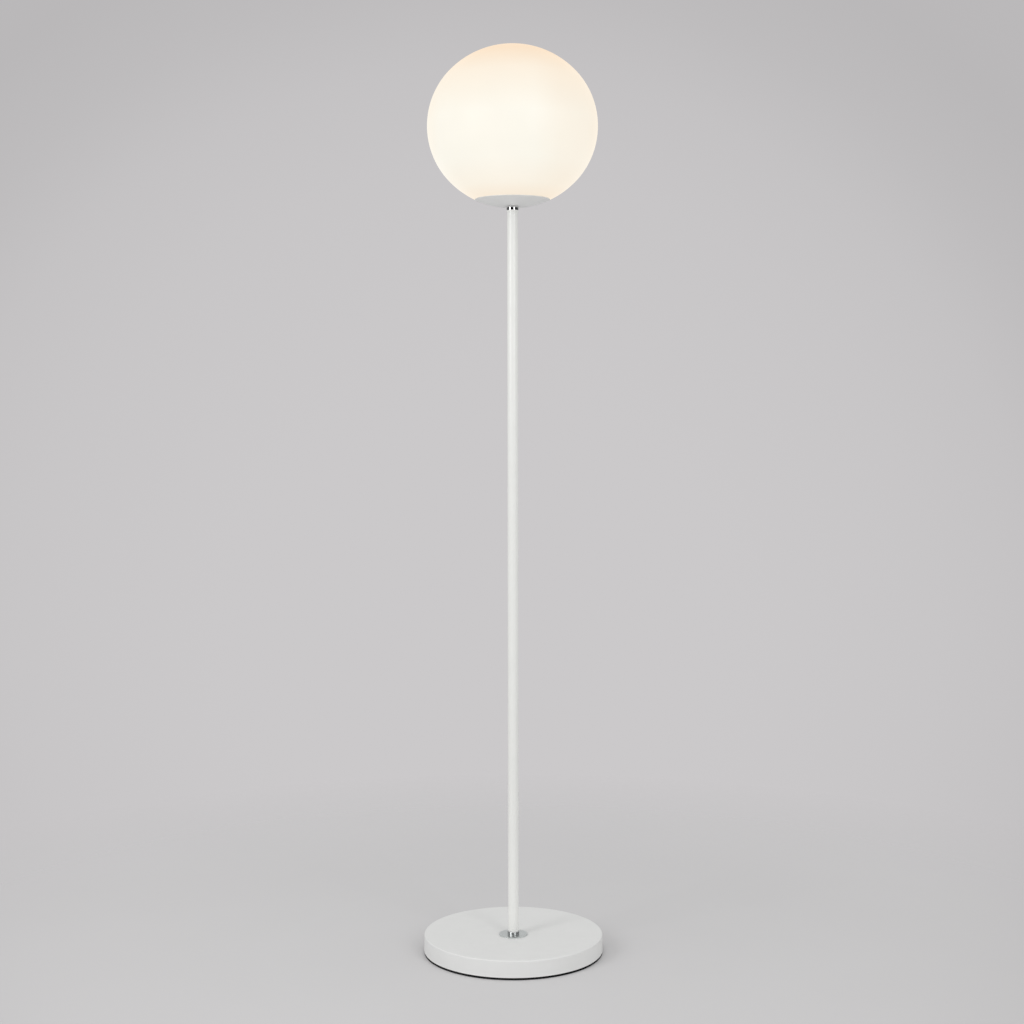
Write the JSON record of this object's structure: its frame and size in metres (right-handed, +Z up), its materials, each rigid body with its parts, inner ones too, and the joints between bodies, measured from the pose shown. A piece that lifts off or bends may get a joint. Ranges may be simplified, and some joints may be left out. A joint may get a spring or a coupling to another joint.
{
  "type": "globe floor lamp",
  "caption": "Floor lamp: opal glass globe on a white dish and thin pole with chrome collars, round weighted base; the globe lifts off and the bulb unscrews.",
  "frame": {"origin": "on the floor, under the middle of the base", "axes": "+Z up along the pole; -Y the front, as in the picture; +Y the back, with the mains inlet; +X right"},
  "size_m": [0.3008, 0.3016, 1.5059],
  "materials": {
    "foam": "matt, closed-cell foam",
    "cover_white": "semi-gloss white powder coat",
    "pole_white": "semi-gloss white powder coat",
    "dish_white": "semi-gloss white powder coat",
    "chrome": "polished plate",
    "zinc": "zinc plated",
    "spring_steel": "rolled spring steel",
    "concrete": "cast concrete",
    "brass": "plain",
    "bush_plastic": "matt moulded nylon",
    "block_plastic": "matt moulded nylon",
    "core_insulation": "brown, smooth",
    "lead_sheath": "white, smooth",
    "silicone": "translucent silicone",
    "opal_glass": "satin opal, glowing warm white",
    "holder_plastic": "moulded phenolic",
    "nickel": "nickel plated",
    "cap_insulator": "black glass, glossy",
    "bulb_plastic": "white moulded housing",
    "board": "white solder mask",
    "led_phosphor": "yellow phosphor",
    "diffuser": "opal, satin"
  },
  "bodies": {
    "stand": {"base_pad": "foam", "base_plate": "zinc", "plate_screws": "zinc", "weight_inserts": "brass", "base_weight": "concrete", "base_cover": "cover_white", "inlet_bush": "bush_plastic", "terminal_block": "block_plastic", "block_clamps": "brass", "block_screws": "zinc", "base_cores": "core_insulation", "clamp_washer": "zinc", "base_lock_washer": "zinc", "base_nut": "zinc", "base_nipple": "zinc", "foot_washer": "chrome", "foot_collar": "chrome", "lower_plug": "zinc", "upper_plug": "zinc", "pole_tube": "pole_white", "inner_lead": "lead_sheath", "neck_collar": "chrome", "head_nipple": "zinc", "dish": "dish_white", "globe_gasket": "silicone", "spring_carrier": "zinc", "globe_spring_1": "spring_steel", "globe_spring_2": "spring_steel", "globe_spring_3": "spring_steel", "spring_rivets": "zinc", "head_lock_washer": "zinc", "head_nut": "zinc", "holder_cap": "holder_plastic", "holder_core": "holder_plastic", "holder_shell": "holder_plastic", "holder_screw_shell": "nickel", "holder_contact": "brass", "holder_terminals": "brass", "holder_screws": "zinc", "head_cores": "core_insulation"},
    "globe": {"globe": "opal_glass"},
    "bulb_centre": {"bulb_tip": "nickel"},
    "bulb": {"bulb_insulator": "cap_insulator", "bulb_screw_cap": "nickel", "bulb_housing": "bulb_plastic", "bulb_board": "board", "bulb_leds": "led_phosphor", "bulb_diffuser": "diffuser"}
  },
  "joints": [
    {"name": "globe_lift", "type": "slide", "parent": "stand", "child": "globe", "axis": [0, 0, 1], "range_m": [0, 0.15]},
    {"name": "bulb_rise", "type": "slide", "parent": "stand", "child": "bulb_centre", "axis": [0, 0, 1], "range_m": [0, 0.0109]},
    {"name": "bulb_turn", "type": "hinge", "parent": "bulb_centre", "child": "bulb", "pos_m": [0, 0, 1.3], "axis": [0, 0, 1], "range_deg": [0, 1080]}
  ],
  "couplings": [
    {"joint": "bulb_rise", "follows": "bulb_turn", "m_per_rad": 0.00057757}
  ]
}
